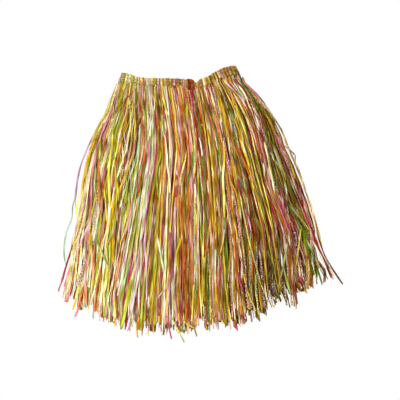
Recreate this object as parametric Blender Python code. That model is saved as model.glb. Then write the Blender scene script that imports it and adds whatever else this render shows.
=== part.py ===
"""A grass skirt of plastic-film strips, lying flat on its back: +X is its width and +Y points to the waist.

A gathered casing goes round the waist as one flattened ring. Six layers of strands leave its lower
edge, each fused at the roots into a narrow strip of its own, and a wide closing strip is folded over
the join in front. Sizes are in millimetres here, and become metres in the meshes.
"""

import math
from collections import namedtuple

import bmesh
import bpy
from mathutils import Vector, noise

MM = 0.001
CLEAR = 0.35  # between pieces that touch
STEP = 0.01  # a small share of the way, for slopes

# The casing, and the strips under its lower edge that the strands' roots are fused into.
WALL = 3.0
HOLLOW = 2.6
END_SHARE = 0.034  # the ring turns this far inside the fringe's sides
GATHERS = 35  # on each side
GATHER_DEPTH = 0.65
SCALLOP = 1.1  # how far the upper edge dips between two gathers
STRIP_HEIGHT = 3.0
ROOT_THICK = 1.15
ROOT_PITCH = ROOT_THICK + CLEAR

# The strands.
STRAND_THICK = 1.6
MOST_OF_A_CELL = 0.84  # a strand's width against the room that it has beside its neighbours
RIDGE_LEAN = 0.5  # how far its ridge strays to either side, against half its width
SIDE_TAPER = 3  # how late the stack of layers sinks on its way to the skirt's sides
FULL_WANDER = 0.4  # how far down the strands wander fully
OWN_WANDER = 0.42  # how far a strand strays from an even fan, against its room
SHARED_WANDER = 2.4  # how far its whole neighbourhood strays
RAGGED = 17.0  # the ends' unevenness
LONG_STRAND_EVERY = 11
LONG_STRAND_EXTRA = 8.0

# Smooth unevenness: how fast each kind changes across the skirt and down it. Its seed sets it apart.
Uneven = namedtuple("Uneven", "across down seed")
OWN = Uneven(1.9, 1.7, 0)
SHARED = Uneven(4.0, 1.5, 50)
LIFT = Uneven(1.7, 5.0, 90)
RIDGE = Uneven(2.3, 3.0, 130)
END = Uneven(3.7, 0.0, 170)

# The casing's lower edge, from its left end (share 0) to its right one (share 1): its place along Y, the
# casing's lean towards +X in degrees, and the casing's height.
Waist = namedtuple("Waist", "share y lean height")
WAIST = (
    Waist(0.00, 212, 16, 22.5),
    Waist(0.06, 213, 10, 20.5),
    Waist(0.13, 210, 4, 19),
    Waist(0.20, 206, 1, 19),
    Waist(0.40, 205, 0, 18.5),
    Waist(0.50, 204, 0, 18.5),
    Waist(0.565, 202.5, -2, 18),
    Waist(0.592, 202.4, -5, 14),
    Waist(0.62, 203, -8, 18.5),
    Waist(0.66, 205.2, -13, 19),
    Waist(0.71, 209, -18, 19),
    Waist(0.80, 217, -25, 20),
    Waist(0.88, 223, -24, 22),
    Waist(0.94, 224, -24, 24.5),
    Waist(1.00, 220, -24, 28.5),
)

# The fringe's two sides, from the hem up to the waist: where they are along X at each place along Y.
Side = namedtuple("Side", "y left right")
SIDES = (
    Side(-230, -254, 236),
    Side(-165, -251, 231),
    Side(-130, -245, 228),
    Side(-97, -241, 224),
    Side(-65, -239, 217),
    Side(-32, -231, 209),
    Side(0, -225, 200),
    Side(32, -221, 188),
    Side(65, -214, 175),
    Side(97, -203, 163),
    Side(119, -196, 154),
    Side(140, -185, 141),
    Side(162, -172, 127),
    Side(184, -163, 112),
    Side(205, -154, 94),
    Side(216, -149, 82),
    Side(228, -147, 79),
)

# The hem: how low the strands reach.
Hem = namedtuple("Hem", "share y")
HEM = (
    Hem(0.00, -172),
    Hem(0.07, -183),
    Hem(0.15, -198),
    Hem(0.23, -214),
    Hem(0.31, -225),
    Hem(0.40, -228),
    Hem(0.47, -225),
    Hem(0.56, -218),
    Hem(0.69, -212),
    Hem(0.76, -198),
    Hem(0.84, -178),
    Hem(0.92, -162),
    Hem(0.96, -148),
    Hem(1.00, -128),
)

# Along a strand, from its root (fall 0) to the hem (fall 1): the height from one layer to the next in the
# middle of the skirt, and a strand's width.
Loft = namedtuple("Loft", "fall pitch width")
LOFT = (
    Loft(0.00, ROOT_PITCH, 3.2),
    Loft(0.05, 2.0, 4.2),
    Loft(0.13, 2.7, 5.4),
    Loft(0.24, 3.3, 6.2),
    Loft(0.37, 3.6, 6.8),
    Loft(0.52, 3.6, 7.2),
    Loft(0.68, 3.2, 7.4),
    Loft(0.84, 2.6, 7.6),
    Loft(1.00, 2.0, 8.0),
)
FALLS = tuple(row.fall for row in LOFT[1:])  # a strand has one section at each

# The layers of strands, from the surface upwards.
Layer = namedtuple("Layer", "name strands wander seed colour")
LAYERS = (
    Layer("fringe_back_under", 38, 1.0, 3.1, (0.42, 0.16, 0.05)),
    Layer("fringe_back_over", 38, 1.0, 7.7, (0.36, 0.25, 0.04)),
    Layer("fringe_front_under", 40, 1.0, 12.4, (0.55, 0.20, 0.08)),
    Layer("fringe_front_middle", 42, 1.0, 19.6, (0.62, 0.42, 0.07)),
    Layer("fringe_front_over", 42, 1.0, 25.2, (0.78, 0.40, 0.28)),
    Layer("fringe_loose_top", 26, 1.1, 31.9, (0.70, 0.62, 0.14)),
)

# Strands that leave the outline: which one of its layer, from where, how far along X, and how much longer.
Stray = namedtuple("Stray", "layer strand start push extra")
STRAYS = (
    Stray("fringe_front_over", -1, 0.88, 22, 4),
    Stray("fringe_front_middle", -1, 0.70, 9, 14),
    Stray("fringe_front_under", 0, 0.70, -4, 8),
    Stray("fringe_loose_top", 11, 0.80, 7, 12),
)

# The closing strip, folded over the casing where the ring is joined.
CLOSING_SHARE = 0.556
CLOSING_WIDTH = 12.0
CLOSING_PINCH = 0.12  # how much narrower it is half way up
CLOSING_THICK = 1.2
CLOSING_RIDGE = 1.7  # its thickness along the middle
CLOSING_ROWS = 6


def clear_scene():
    for obj in list(bpy.data.objects):
        bpy.data.objects.remove(obj, do_unlink=True)


def ease(value):
    """A smooth step from 0 to 1."""
    value = min(1.0, max(0.0, value))
    return value * value * (3.0 - 2.0 * value)


def read(table, column, at):
    """The column of a table at a place between its rows, on a smooth curve through them."""
    places = [row[0] for row in table]
    values = [getattr(row, column) for row in table]
    at = min(places[-1], max(places[0], at))
    i = max(k for k in range(len(table) - 1) if places[k] <= at)
    slopes = []
    for k in (i, i + 1):
        low, high = max(k - 1, 0), min(k + 1, len(table) - 1)
        slopes.append((values[high] - values[low]) / (places[high] - places[low]))
    span = places[i + 1] - places[i]
    t = (at - places[i]) / span
    return (
        (1 + 2 * t) * (1 - t) ** 2 * values[i]
        + t * (1 - t) ** 2 * span * slopes[0]
        + t * t * (3 - 2 * t) * values[i + 1]
        + t * t * (t - 1) * span * slopes[1]
    )


def uneven(kind, layer, across, fall=0.0):
    """A value between -1 and 1 that changes smoothly across the skirt and down it."""
    return noise.noise(Vector((across * kind.across, fall * kind.down, layer.seed + kind.seed)))


def place(share, fall):
    """The place in plan that lies this share of the way across the skirt and this far down it."""
    top = read(WAIST, "y", share)
    y = top + fall * (read(HEM, "y", share) - top)
    left, right = read(SIDES, "left", y), read(SIDES, "right", y)
    return Vector((left + share * (right - left), y, 0))


def below_casing(share, distance):
    """The place this far under the casing's lower edge."""
    length = read(WAIST, "y", share) - read(HEM, "y", share)
    return place(share, distance / length)


def pitch(share, fall):
    """The height from one layer to the next, which sinks towards the skirt's sides."""
    fullness = 1.0 - abs(2.0 * min(1.0, max(0.0, share)) - 1.0) ** SIDE_TAPER
    return ROOT_PITCH + (read(LOFT, "pitch", fall) - ROOT_PITCH) * fullness


def cells(layer, fall):
    """The borders between a layer's strands across the skirt: one more of them than it has strands."""
    wander = layer.wander * ease(fall / FULL_WANDER) / layer.strands
    borders = []
    for k in range(layer.strands + 1):
        share = k / layer.strands
        own = uneven(OWN, layer, k, fall)
        shared = uneven(SHARED, layer, share, fall) * math.sin(math.pi * share)
        borders.append(share + wander * (OWN_WANDER * own + SHARED_WANDER * shared))
    return borders


def half_width(left, right, fall, slant=1.0):
    """Half a strand's width, as a share of the skirt's: less where its room between two borders is less."""
    across = place(1.0, fall).x - place(0.0, fall).x
    return min((right - left) * MOST_OF_A_CELL, read(LOFT, "width", fall) * slant / across) / 2


def section(layer, index, strand, fall, borders):
    """The three corners of a strand where it has fallen this far: the two of its base, and its ridge."""
    left, right = borders[strand], borders[strand + 1]
    middle = (left + right) / 2
    slope = place(middle, fall + STEP) - place(middle, fall)
    half = half_width(left, right, fall, slope.length / abs(slope.y))
    lean = RIDGE_LEAN * uneven(RIDGE, layer, strand, fall)
    shares = [middle + half * side for side in (-1.0, 1.0, lean)]
    room = min(pitch(share, fall) for share in shares) - CLEAR
    thick = min(STRAND_THICK, room)
    lift = (room - thick) * (1.0 + uneven(LIFT, layer, strand, fall)) / 2 if index else 0.0
    corners = [place(share, fall) for share in shares]
    push = stray_push(layer, strand, fall)
    for corner, share, height in zip(corners, shares, (0.0, 0.0, thick)):
        corner.x += push
        corner.z = index * pitch(share, fall) + lift + height
    return corners


def stray_of(layer, strand):
    for row in STRAYS:
        if row.layer == layer.name and row.strand % layer.strands == strand:
            return row
    return None


def stray_push(layer, strand, fall):
    """How far along X a stray has left its place by here."""
    row = stray_of(layer, strand)
    return row.push * ease((fall - row.start) / (1.0 - row.start)) if row else 0.0


def end_section(layer, strand, before, last):
    """The strand's cut end, a little above or below the hem."""
    row = stray_of(layer, strand)
    reach = RAGGED * uneven(END, layer, strand) + (row.extra if row else 0.0)
    if (strand + int(layer.seed)) % LONG_STRAND_EVERY == 0:
        reach += LONG_STRAND_EXTRA
    span = (last[0] - before[0]).length
    return [b + (a - b) * (1.0 + reach / span) for b, a in zip(before, last)]


def material(name, colour, roughness=0.35):
    made = bpy.data.materials.new(name)
    made.use_nodes = True
    shader = made.node_tree.nodes["Principled BSDF"]
    shader.inputs["Base Color"].default_value = (*colour, 1.0)
    shader.inputs["Roughness"].default_value = roughness
    shader.inputs["Metallic"].default_value = 0.0
    return made


def add_object(name, bm, colour):
    """The finished mesh as a named object with its own material, its faces turned outwards."""
    bmesh.ops.recalc_face_normals(bm, faces=bm.faces)
    bmesh.ops.scale(bm, vec=(MM, MM, MM), verts=bm.verts)
    mesh = bpy.data.meshes.new(name)
    bm.to_mesh(mesh)
    bm.free()
    mesh.materials.append(material(name, colour))
    obj = bpy.data.objects.new(name, mesh)
    bpy.context.scene.collection.objects.link(obj)
    return obj


def backing_strip(bm, layer, index):
    """The narrow strip under the casing's edge, with a hole at each root. It returns the roots' corners."""
    low, high = index * ROOT_PITCH, index * ROOT_PITCH + ROOT_THICK
    borders = cells(layer, 0.0)
    middles = [(a + b) / 2 for a, b in zip(borders, borders[1:])]

    def corner(share, distance, height):
        point = below_casing(share, distance)
        point.z = height
        return bm.verts.new(point)

    roots = []
    far = CLEAR + STRIP_HEIGHT
    for share, left, right in zip(middles, borders, borders[1:]):
        half = half_width(left, right, 0.0)
        roots.append(
            [corner(share - half, far, low), corner(share + half, far, low), corner(share, far, high)]
        )
    near_low = [corner(share, CLEAR, low) for share in (0.0, *middles, 1.0)]
    near_high = [corner(share, CLEAR, high) for share in (0.0, *middles, 1.0)]
    ends = [[corner(share, far, low), corner(share, far, high)] for share in (0.0, 1.0)]

    # The far edge as runs between roots: each starts at one root's right corner and ends at the next's left.
    starts = [ends[0]] + [[root[1], root[2]] for root in roots]
    stops = [[root[0], root[2]] for root in roots] + [ends[1]]
    for k, (start, stop) in enumerate(zip(starts, stops)):
        bm.faces.new((start[0], stop[0], stop[1], start[1]))
        bm.faces.new((near_low[k], near_low[k + 1], stop[0], start[0]))
        bm.faces.new((near_high[k], start[1], stop[1], near_high[k + 1]))
        bm.faces.new((near_low[k], near_high[k], near_high[k + 1], near_low[k + 1]))
    for k, root in enumerate(roots):
        bm.faces.new((near_low[k + 1], root[1], root[0]))
    bm.faces.new((ends[0][0], ends[0][1], near_high[0], near_low[0]))
    bm.faces.new((ends[1][0], near_low[-1], near_high[-1], ends[1][1]))
    return roots


def grow_strand(bm, root, sections):
    """Extrudes the root's face from section to section, and leaves the last face as the cut end."""
    face = bm.faces.new(root)
    order = list(root)
    for corners in sections:
        grown = bmesh.ops.extrude_discrete_faces(bm, faces=[face])["faces"][0]
        order = [
            next(v for v in grown.verts if (v.co - old).length < 1e-9)
            for old in [vert.co.copy() for vert in order]
        ]
        face = grown
        for vert, place_of_corner in zip(order, corners):
            vert.co = place_of_corner


def build_fringe(layer, index):
    bm = bmesh.new()
    roots = backing_strip(bm, layer, index)
    borders = [cells(layer, fall) for fall in FALLS]
    for strand, root in enumerate(roots):
        sections = [section(layer, index, strand, *at_fall) for at_fall in zip(FALLS, borders)]
        sections[-1] = end_section(layer, strand, sections[-2], sections[-1])
        grow_strand(bm, root, sections)
    return add_object(layer.name, bm, layer.colour)


# The casing's section from its lower edge to its upper one: how high up each point is, and how far the
# gathers stand out there. They are held down by two rows of stitches and by the edge's own pinch.
Rib = namedtuple("Rib", "height fullness")
RIBS = (
    Rib(0.00, 0.15),
    Rib(0.16, 0.90),
    Rib(0.36, 0.30),
    Rib(0.52, 1.00),
    Rib(0.68, 0.30),
    Rib(0.85, 1.00),
    Rib(1.00, 0.45),
)
# One gather: where its points lie along it, and whether they are on its crest.
Gather = namedtuple("Gather", "along crest")
GATHER = (Gather(0.16, 1.0), Gather(0.52, 1.0), Gather(0.84, 0.0))
TURN_STEPS = 4  # from one run of the ring to the other, round each end


def casing_point(share, height, outward, offset):
    """A point of the casing: how far up it, and how far out from the middle line of the flattened ring."""
    lean = math.radians(read(WAIST, "lean", share))
    up = Vector((math.sin(lean), math.cos(lean), 0))
    along = (place(share + STEP, 0.0) - place(share - STEP, 0.0)).normalized()
    point = place(share, 0.0) + up * height + along * (outward[0] * offset)
    point.z = WALL + HOLLOW / 2 + outward[1] * offset
    return point


def casing_stations():
    """Round the ring: each place's share, its way outwards as (along, up), and whether it is on a crest."""
    span = (1.0 - 2 * END_SHARE) / GATHERS
    run = [(END_SHARE + (g + row.along) * span, row.crest) for g in range(GATHERS) for row in GATHER]
    stations = [(share, (0.0, 1.0), crest) for share, crest in run]
    for side, share in ((1.0, 1.0 - END_SHARE), (-1.0, END_SHARE)):
        for step in range(1, TURN_STEPS):
            angle = math.pi * step / TURN_STEPS
            up = math.cos(angle) * side
            stations.append((share, (math.sin(angle) * side, up), step % 2 * 1.0))
        if side > 0:
            stations += [(share, (0.0, -1.0), crest) for share, crest in reversed(run)]
    return stations


def build_casing():
    """The flattened ring: a plain inner side, and gathers in the points of its outer side."""
    bm = bmesh.new()
    inner, outer = HOLLOW / 2, HOLLOW / 2 + WALL
    loops = []
    for share, outward, crest in casing_stations():
        tall = read(WAIST, "height", share) - SCALLOP * (1.0 - crest)
        points = [casing_point(share, 0.0, outward, inner), casing_point(share, tall, outward, inner)]
        for rib in reversed(RIBS):
            sunk = GATHER_DEPTH * (1.0 - rib.fullness * crest)
            points.append(casing_point(share, tall * rib.height, outward, outer - sunk))
        loops.append([bm.verts.new(point) for point in points])
    for here, there in zip(loops, loops[1:] + loops[:1]):
        for k, vert in enumerate(here):
            after = (k + 1) % len(here)
            bm.faces.new((vert, there[k], there[after], here[after]))
    return add_object("waistband", bm, (0.55, 0.30, 0.12))


def build_closing_strip():
    """The wide strip that covers the join, lying on the casing's front from its points moved out."""
    bm = bmesh.new()
    half = CLOSING_WIDTH / 2 / (place(1.0, 0.0).x - place(0.0, 0.0).x)
    offset = HOLLOW / 2 + WALL + CLEAR
    loops = []
    for row in range(CLOSING_ROWS + 1):
        up = row / CLOSING_ROWS
        loop = []
        for side, lift in ((-1, 0), (1, 0), (1, CLOSING_THICK), (0, CLOSING_RIDGE), (-1, CLOSING_THICK)):
            share = CLOSING_SHARE + side * half * (1.0 - CLOSING_PINCH * math.sin(math.pi * up))
            tall = read(WAIST, "height", share)
            loop.append(bm.verts.new(casing_point(share, tall * up, (0.0, 1.0), offset + lift)))
        loops.append(loop)
    for here, there in zip(loops, loops[1:]):
        for k, vert in enumerate(here):
            after = (k + 1) % len(here)
            bm.faces.new((vert, there[k], there[after], here[after]))
    bm.faces.new(loops[0])
    bm.faces.new(loops[-1])
    return add_object("closing_strip", bm, (0.38, 0.05, 0.08))


def centre_on_box(objects):
    """Moves the skirt so that its box stands on the origin, with X and Y through the box's middle."""
    points = [vert.co for obj in objects for vert in obj.data.vertices]
    middle = [(min(p[axis] for p in points) + max(p[axis] for p in points)) / 2 for axis in (0, 1)]
    for point in points:
        point.x -= middle[0]
        point.y -= middle[1]


def main():
    clear_scene()
    objects = [build_casing(), build_closing_strip()]
    objects += [build_fringe(layer, index) for index, layer in enumerate(LAYERS)]
    centre_on_box(objects)


main()
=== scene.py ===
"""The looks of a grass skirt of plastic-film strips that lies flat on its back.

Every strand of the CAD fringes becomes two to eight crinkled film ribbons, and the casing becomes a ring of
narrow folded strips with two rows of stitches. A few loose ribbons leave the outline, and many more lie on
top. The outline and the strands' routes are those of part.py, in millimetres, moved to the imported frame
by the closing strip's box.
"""

import math
from collections import namedtuple

import bpy
import numpy as np
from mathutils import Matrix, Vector, noise


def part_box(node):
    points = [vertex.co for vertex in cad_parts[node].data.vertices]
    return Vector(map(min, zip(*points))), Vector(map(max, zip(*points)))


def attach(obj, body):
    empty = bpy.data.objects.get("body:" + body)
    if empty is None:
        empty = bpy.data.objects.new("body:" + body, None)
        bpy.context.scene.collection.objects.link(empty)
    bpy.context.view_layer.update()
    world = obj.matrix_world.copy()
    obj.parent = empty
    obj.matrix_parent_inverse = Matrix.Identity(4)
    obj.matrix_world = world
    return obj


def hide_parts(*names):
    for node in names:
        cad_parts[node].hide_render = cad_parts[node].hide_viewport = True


MM = 0.001


def table(columns, *rows):
    """Rows with named columns."""
    kind = namedtuple("Row", columns)
    return tuple(kind(*row) for row in rows)


# ---- the skirt's shape, as in part.py

CLEAR = 0.35  # between two layers
STEP = 0.01  # to each side, to find the waist's direction
WALL = 3.0  # of the casing
HOLLOW = 2.6  # inside the casing
END_SHARE = 0.034  # from the skirt's side to the turn of the casing's ring
GATHERS = 35
ROOT_PITCH = 1.5
SIDE_TAPER = 3
FULL_WANDER = 0.4
OWN_WANDER = 0.42
SHARED_WANDER = 2.4
RAGGED = 17.0
LONG_STRAND_EVERY = 11
LONG_STRAND_EXTRA = 8.0

Uneven = namedtuple("Uneven", "across down seed")
OWN = Uneven(1.9, 1.7, 0)
SHARED = Uneven(4.0, 1.5, 50)
END = Uneven(3.7, 0.0, 170)

WAIST = table(
    "share y lean height",
    (0.00, 212, 16, 22.5), (0.06, 213, 10, 20.5), (0.13, 210, 4, 19), (0.20, 206, 1, 19),
    (0.40, 205, 0, 18.5), (0.50, 204, 0, 18.5), (0.565, 202.5, -2, 18), (0.592, 202.4, -5, 14),
    (0.62, 203, -8, 18.5), (0.66, 205.2, -13, 19), (0.71, 209, -18, 19), (0.80, 217, -25, 20),
    (0.88, 223, -24, 22), (0.94, 224, -24, 24.5), (1.00, 220, -24, 28.5),
)
SIDES = table(
    "y left right",
    (-230, -254, 236), (-165, -251, 231), (-130, -245, 228), (-97, -241, 224), (-65, -239, 217),
    (-32, -231, 209), (0, -225, 200), (32, -221, 188), (65, -214, 175), (97, -203, 163), (119, -196, 154),
    (140, -185, 141), (162, -172, 127), (184, -163, 112), (205, -154, 94), (216, -149, 82), (228, -147, 79),
)
HEM = table(
    "share y",
    (0.00, -172), (0.07, -183), (0.15, -198), (0.23, -214), (0.31, -225), (0.40, -228), (0.47, -225),
    (0.56, -218), (0.69, -212), (0.76, -198), (0.84, -178), (0.92, -162), (0.96, -148), (1.00, -128),
)
LOFT = table(
    "fall pitch",
    (0.00, ROOT_PITCH), (0.05, 2.0), (0.13, 2.7), (0.24, 3.3), (0.37, 3.6), (0.52, 3.6), (0.68, 3.2),
    (0.84, 2.6), (1.00, 2.0),
)

# Strands that leave the outline: which one of its layer, from where, how far along X, and how much longer.
STRAYS = table(
    "layer strand start push extra",
    ("fringe_front_over", -1, 0.88, 22, 4),
    ("fringe_front_middle", -1, 0.70, 9, 14),
    ("fringe_front_under", 0, 0.70, -4, 8),
    ("fringe_loose_top", 11, 0.80, 7, 12),
)

CLOSING_SHARE = 0.556
CLOSING_WIDTH = 12.0
CLOSING_PINCH = 0.12
CLOSING_ROWS = 6

# ---- the film

# How far the film stays inside the solids at the sides, by how far below the middle it is.
DRAWN_IN = table(
    "below left right",
    (-215, 0, 0), (-150, 1, 5), (-105, 3, 10), (-65, 5, 7), (-20, 8, 8), (50, 8, 9), (64, 7, 12),
    (86, 6, 18), (120, 4, 22), (150, 3, 26), (200, 1, 16),
)

# Each film's colour, how common it is at the skirt's left side, at its right side and deep inside, and how
# wide its strips are against the others.
FILMS = table(
    "name red green blue left right deep wide",
    ("gold", 208, 170, 0, 3.0, 4.8, 2.6, 1.0),
    ("straw", 248, 234, 130, 2.5, 3.4, 0.3, 0.7),
    ("lime", 174, 190, 10, 4.9, 2.8, 1.6, 0.9),
    ("mint", 170, 204, 196, 6.2, 1.3, 0.5, 0.85),
    ("silver", 200, 202, 206, 6.2, 0.2, 0.3, 0.9),
    ("green", 92, 140, 62, 0.7, 2.2, 0.5, 1.1),
    ("pearl", 242, 236, 234, 4.4, 2.3, 0.1, 0.6),
    ("pink", 210, 118, 170, 2.7, 3.6, 1.4, 0.9),
    ("mauve", 166, 70, 120, 0.8, 4.0, 1.8, 1.1),
    ("salmon", 214, 108, 84, 0.7, 1.6, 1.0, 1.0),
    ("orange", 208, 106, 0, 1.8, 4.0, 3.0, 1.1),
    ("rust", 164, 64, 0, 0.5, 2.6, 3.4, 1.3),
    ("lilac", 202, 162, 220, 5.2, 1.8, 0.5, 0.85),
    ("magenta", 176, 36, 108, 0.5, 3.6, 1.2, 0.9),
    ("crimson", 152, 24, 52, 0.3, 3.8, 2.6, 1.3),
    ("olive", 150, 134, 0, 2.8, 3.8, 4.0, 1.2),
    ("brown", 132, 80, 0, 1.2, 3.4, 3.2, 1.3),
)

# Each layer's strands, and how it is dressed: the ribbons for each strand, the stations along a ribbon,
# how far it strays in its strand's place, its mean width, the share of the deep colours, how far above the
# strand's end it may be cut, the slot and the seed of the draws.
LAYERS = table(
    "name strands wander seed ribbons stations stray width deep cut slot draws",
    ("fringe_back_under", 38, 1.0, 3.1, 2, 56, 0.3, 5.2, 0.8, 60, "back_film", 11),
    ("fringe_back_over", 38, 1.0, 7.7, 2, 56, 0.3, 5.2, 1.0, 60, "back_film", 12),
    ("fringe_front_under", 40, 1.0, 12.4, 2, 80, 0.4, 5.0, 0.9, 50, "front_film", 13),
    ("fringe_front_middle", 42, 1.0, 19.6, 4, 76, 0.5, 3.4, 0.5, 30, "front_film", 14),
    ("fringe_front_over", 42, 1.0, 25.2, 6, 88, 0.8, 2.7, 0.15, 24, "front_film", 15),
    ("fringe_loose_top", 26, 1.1, 31.9, 8, 96, 0.7, 2.7, 0.0, 34, "loose_film", 16),
)
ACROSS = 4  # faces across a ribbon
FOLD = 1.4  # how round a ribbon's arch is: 1 is a sharp fold, 2 a round one
SKEW = 0.45  # how far off a ribbon's middle its fold may be
ROOT_WIDTH = 1.9
WIDTHS = (0.6, 1.45)  # of single ribbons, against the mean
FULL_WIDTH = 60.0  # how far down from the root a ribbon is as wide as it gets
WANDER_KEPT = 0.35
FLARE_LENGTH = 28.0  # over which an end opens and flattens
END_KINDS = (0.45, 0.0, -0.6)  # how much wider a ribbon is at its end
END_ODDS = (0.24, 0.32, 0.44)
SLANT = 1.4  # how slanted the cuts are, against half the width
SMALLEST_HEIGHT = 0.12  # above the surface
SIDE_FALLOFF = 0.02  # the share of the width over which the stack falls off at the skirt's sides

Wave = namedtuple("Wave", "size length")
WAVER = Wave(0.30, 110.0)
TREMBLE = Wave(0.12, 22.0)
ROLL = Wave(0.34, 90.0)  # radians
WIDEN = Wave(0.2, 70.0)  # share of the width
FLUTTER = Wave(0.26, 16.0)
CREASE = Wave(0.2, 130.0)  # the heights of the long folds in a ribbon
RIPPLES = ((1.0, 0.5), (0.62, 0.3), (1.7, 0.35))  # the waves in each: length and size against its own
RIPPLE_LENGTHS = (0.8, 1.25)  # of single strips, against the mean
CRUMPLE = 0.13
TONES = (0.77, 1.18)
DARKEST = 0.15
# Painted shade across each strip: one edge lighter, the other darker, as a folded film catches the light.
EDGE_SHADING = 0.3
AMBER = (1.0, 0.91, 0.12)  # the colour of painted shade: what light that has come through other strips turns to
DEEPENING = 3.0  # how fast dark film turns to it, as painted shade
RED_KEPT = 0.75  # how much less the pink and red films do
PINKNESS = 4.0  # how soon a film counts as pink, by how much more blue than green it has
PALE_KEPT = 0.3  # how much less the colourless films do
PALING = 0.9  # how fast light film pales, as a painted highlight
PALEST = 0.7
LIGHTEST = 1.4
DEEPER_RIGHT = 0.57  # painted shade: how much darker the vivid films are at the right side
BOLDER_RIGHT = 0.6  # painted light and shade: how much stronger the tones' contrast is at the right side
# Painted shade: how much darker the film is at the left side, which the key light lights most.
DUSKIER_LEFT = 0.17
DUSK = (0.62, 0.8)  # the tones of the ribbons that leave the outline, which are seen against white
LEFT_SIDE = 0.7  # how far across the skirt the left side's films go over into the right side's
LOCKS = 38  # across the skirt
LOCK_ODDS = 0.2
LOCK_SEED = 500
STRIP_APART = 37.0  # between two strips, in the space of the film's patterns
SHIMMER = Wave(1.0, 90.0)  # from a film's own colour to its other one
SHIMMERING = (0.5, 0.2)  # how much of that wave is used, and how far it is moved towards the other colour
MOST_TURNED = 0.55
EDGES_APART = 0.5  # how far each edge of a strip may lean towards either colour
STREAK = Wave(0.26, 80.0)  # of tone, along a ribbon
SHADE = Wave(0.28, 48.0)
GLINT = Wave(1.0, 76.0)  # painted highlights, towards a pearly white
GLINT_COLOUR = (0.93, 0.88, 0.82)
GLINT_STRENGTHS = (0.0, 0.3, 1.0)
GLINT_ODDS = (0.42, 0.3, 0.28)
GLINT_SHARPNESS = 1.7
GLINT_RARITY = 0.7
GLINTS_RIGHT = 0.4  # how much less rare they are at the right side
GLINT_PLACES = 0.7  # how far from a ribbon's middle they lie
BEND_EVERY = 260.0  # millimetres between a ribbon's soft bends
BEND_ROUNDING = (-0.1, -0.05, 0.0, 0.05, 0.1)  # in shares of that
FIRST_BEND = (0.2, 1.2)
STRAY_SHARES = (0.9, 5.0)  # the least that a ribbon strays, and how much more the most stray
STRAY_ROOM = 18.0  # how soon ribbons stray less towards the skirt's sides
FULL_STRAY = 0.2  # the fall from which ribbons stray as far as they do
UNEVEN_ROOTS = 0.08
NOTCH_DEPTH = 30.0  # the gaps between the locks at the hem
NOTCH_EVERY = 8.0
NOTCH_FROM = 0.08
NOTCH_SEED = 300.0
Gap = namedtuple("Gap", "x half depth")
HEM_GAP = Gap(1.0, 8.0, 15.0)  # the one near the middle of the hem
LENGTH = 430.0  # of a common strand
LONGER_END = 6.0  # how far past its strand's end a ribbon may hang
MORE_LONG_ENDS = 1.5
CLOSER = 0.055  # how much closer the stations lie near a ribbon's root and end
BORDER_FALLS = np.linspace(0.0, 1.12, 61)  # where the strands' borders are worked out
STRAIGHTENED = 0.8  # how much straighter than the skirt's sides its middle ribbons run
INSET = 0.006
OVER_EDGE = 6.0  # how far over the casing the top layer's ribbons may start
EDGE_LIFT = 0.9  # how high they are lifted there
EDGE_LIFTED = 16.0  # how far down they come back to their place
LOOSE_FROM = 50.0  # how far from its root a ribbon wavers and rolls in full
FLUTTERED = 0.5  # how much of the flutter's wave is used
ARCHED = (0.5, 0.2)  # how far the film may stand up: the share of its room, and how much more
MOST_ARCHED = 0.8
ARCHES = (0.2, 1.1)  # of single ribbons, against that
FLAT_END = 0.8  # how much flatter an end is that opens
ROLL_ROOM = 1.2  # the room in which a ribbon may roll in full
MOST_ROLLED = 0.75  # the share of its room that a rolled ribbon may take up
PILED = 0.72  # the share of its layer's height over which the ribbons of a place are spread
NEAR_CLOSING = (0.004, 0.0105)  # the ribbons that carry on from the closing strip: past its place, and
# half their width, in shares of the skirt's

# How far along X the ribbons are led aside at each quarter of the fall, by where they lie across the skirt.
LEADS = table(
    "share first second third end",
    (0.00, 0, 0, 0, 0), (0.07, 7, 10, 19, 27), (0.20, 20, 16, 17, 17), (0.43, 14, 10, 12, 12),
    (0.66, 4, 0, -5, -11), (0.85, 3, 0, 3, 4), (0.93, 0, -9, 6, 18), (1.00, 0, 0, 0, 0),
)

# Broad soft patches of painted light and shade, lighter or duller than the rest: where, how wide and tall,
# and their tone.
LIGHT_AND_SHADE_PATCHES = table(
    "x y wide tall tone",
    (-128, 170, 50, 60, 0.78), (134, -132, 46, 74, 0.45), (-24, -155, 22, 40, 0.72),
    (-190, -165, 75, 60, 1.15), (-10, 90, 70, 150, 1.26), (208, -15, 24, 150, 1.60),
    (10, -215, 80, 24, 1.40),
)


def painted_light_and_shade(x, y):
    """The painted light and shade of the film at these places, against the rest of the skirt."""
    tone = np.ones_like(x)
    for patch in LIGHT_AND_SHADE_PATCHES:
        near = np.exp(-(((x - patch.x) / patch.wide) ** 2) - ((y - patch.y) / patch.tall) ** 2)
        tone = tone * (1.0 + (patch.tone - 1.0) * near)
    return tone


def linear(red, green, blue):
    """A colour picked by eye in sRGB, in the renderer's linear values."""
    levels = np.array([red, green, blue], float) / 255
    return np.where(levels <= 0.04045, levels / 12.92, ((levels + 0.055) / 1.055) ** 2.4)


FILM_NUMBER = {film.name: number for number, film in enumerate(FILMS)}
FILM_ROWS = {name: np.array(values) for name, values in zip(FILMS[0]._fields, zip(*FILMS))}
FILM_COLOURS = np.array([linear(film.red, film.green, film.blue) for film in FILMS])


def ease(value):
    """From 0 to 1, with a slow start and a slow end."""
    value = np.clip(value, 0.0, 1.0)
    return value * value * (3.0 - 2.0 * value)


def curve(t, span, start, end, leave, arrive):
    """The value t of the way over a span, on a smooth curve that leaves and arrives with these slopes."""
    return (
        (1 + 2 * t) * (1 - t) ** 2 * start
        + t * (1 - t) ** 2 * span * leave
        + t * t * (3 - 2 * t) * end
        + t * t * (t - 1) * span * arrive
    )


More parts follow.
